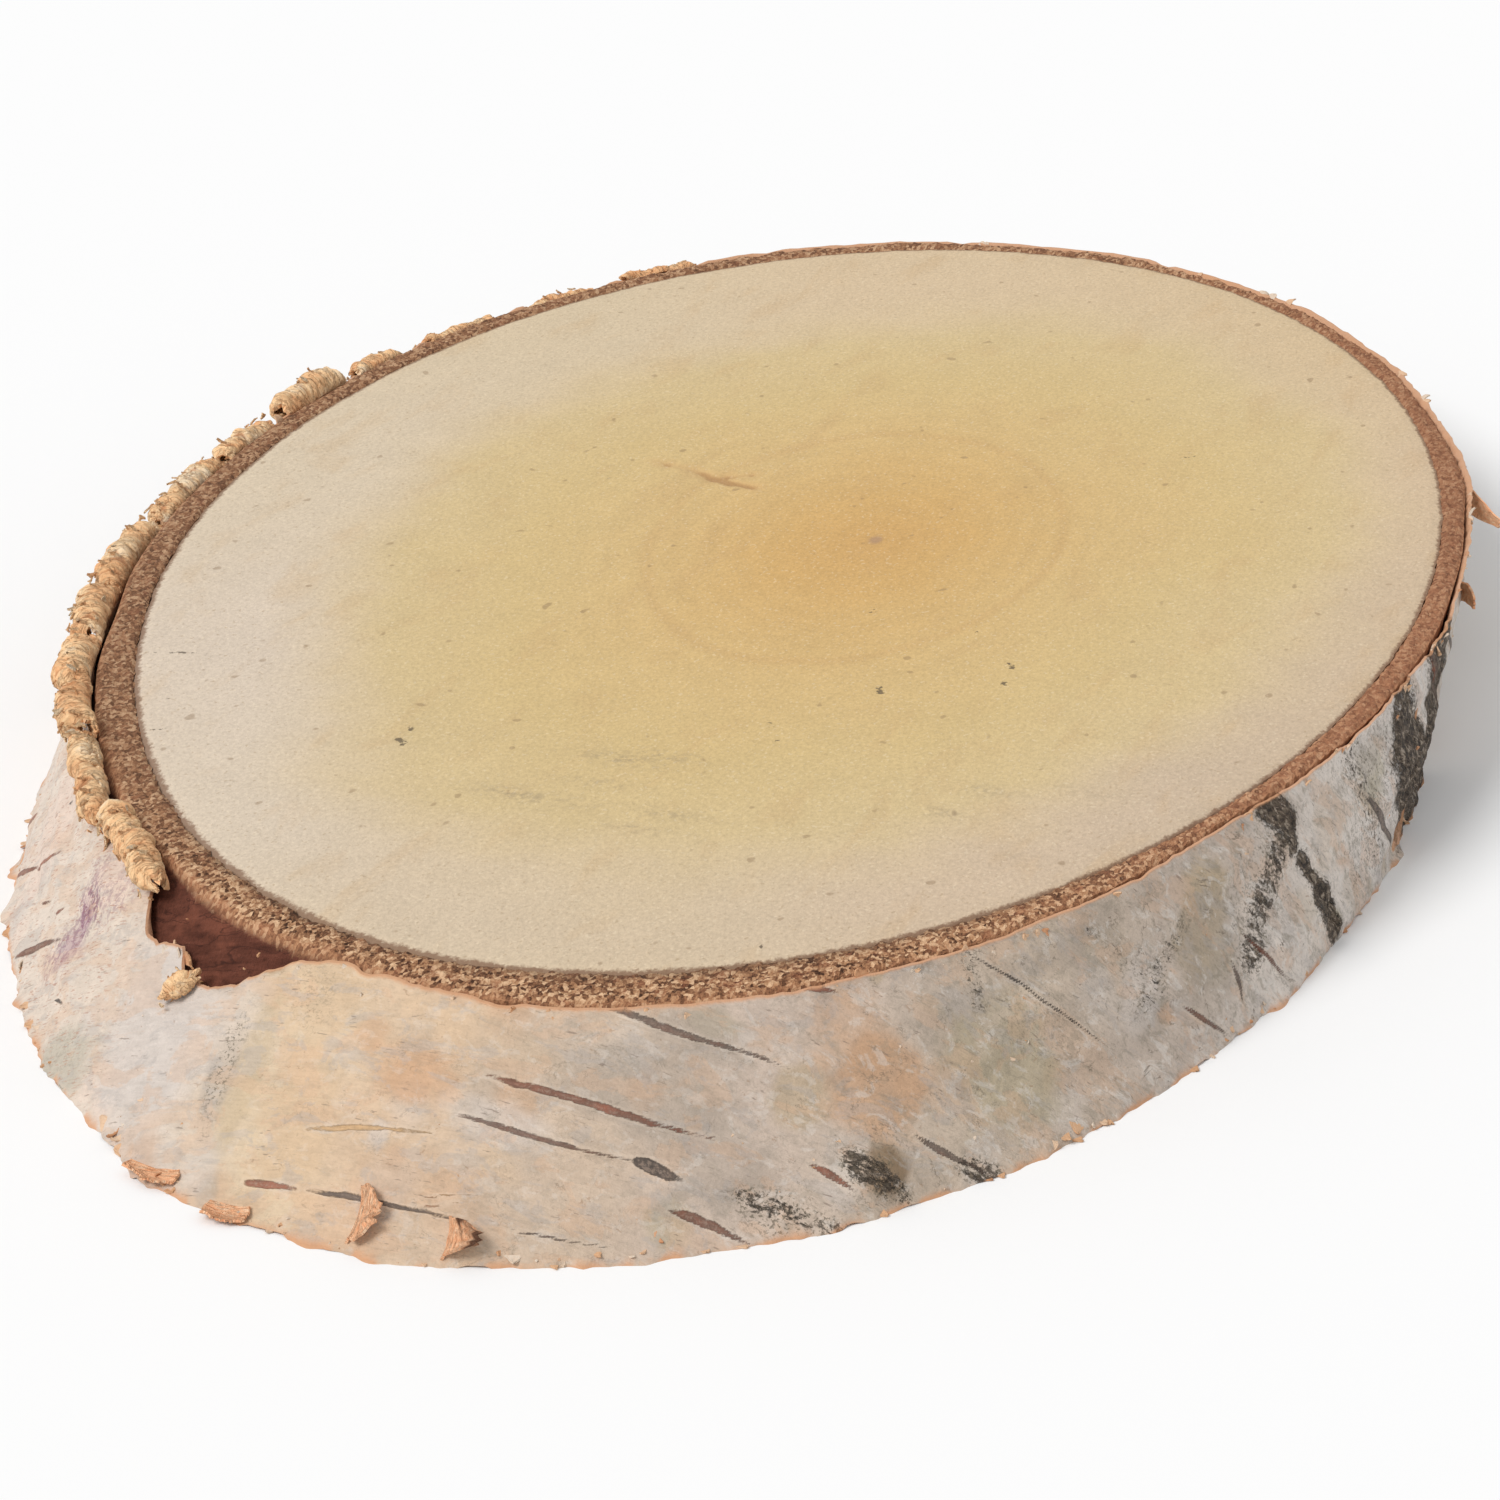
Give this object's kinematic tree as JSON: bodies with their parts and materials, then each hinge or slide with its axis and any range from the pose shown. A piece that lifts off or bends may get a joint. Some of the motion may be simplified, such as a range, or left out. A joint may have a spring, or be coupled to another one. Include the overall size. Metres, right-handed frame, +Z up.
{
  "type": "wood slice",
  "caption": "Oval birch slice sawn at a slant, bark left on: smooth flat faces for a serving board, place marker or craft base, torn and rolled paper bark at one side.",
  "frame": {"origin": "middle of the bounding box, on the surface that the slice lies on", "axes": "+Z up, out of the top face; +X along the long axis of the face, the way the trunk leaned as it went up"},
  "size_m": [0.2566, 0.1527, 0.0195],
  "materials": {
    "wood": "sanded, bare, matt",
    "inner_bark": "rough, corky",
    "outer_bark": "papery, slightly silky"
  },
  "bodies": {
    "root": {"wood": "wood", "inner_bark": "inner_bark", "outer_bark": "outer_bark"}
  },
  "joints": []
}
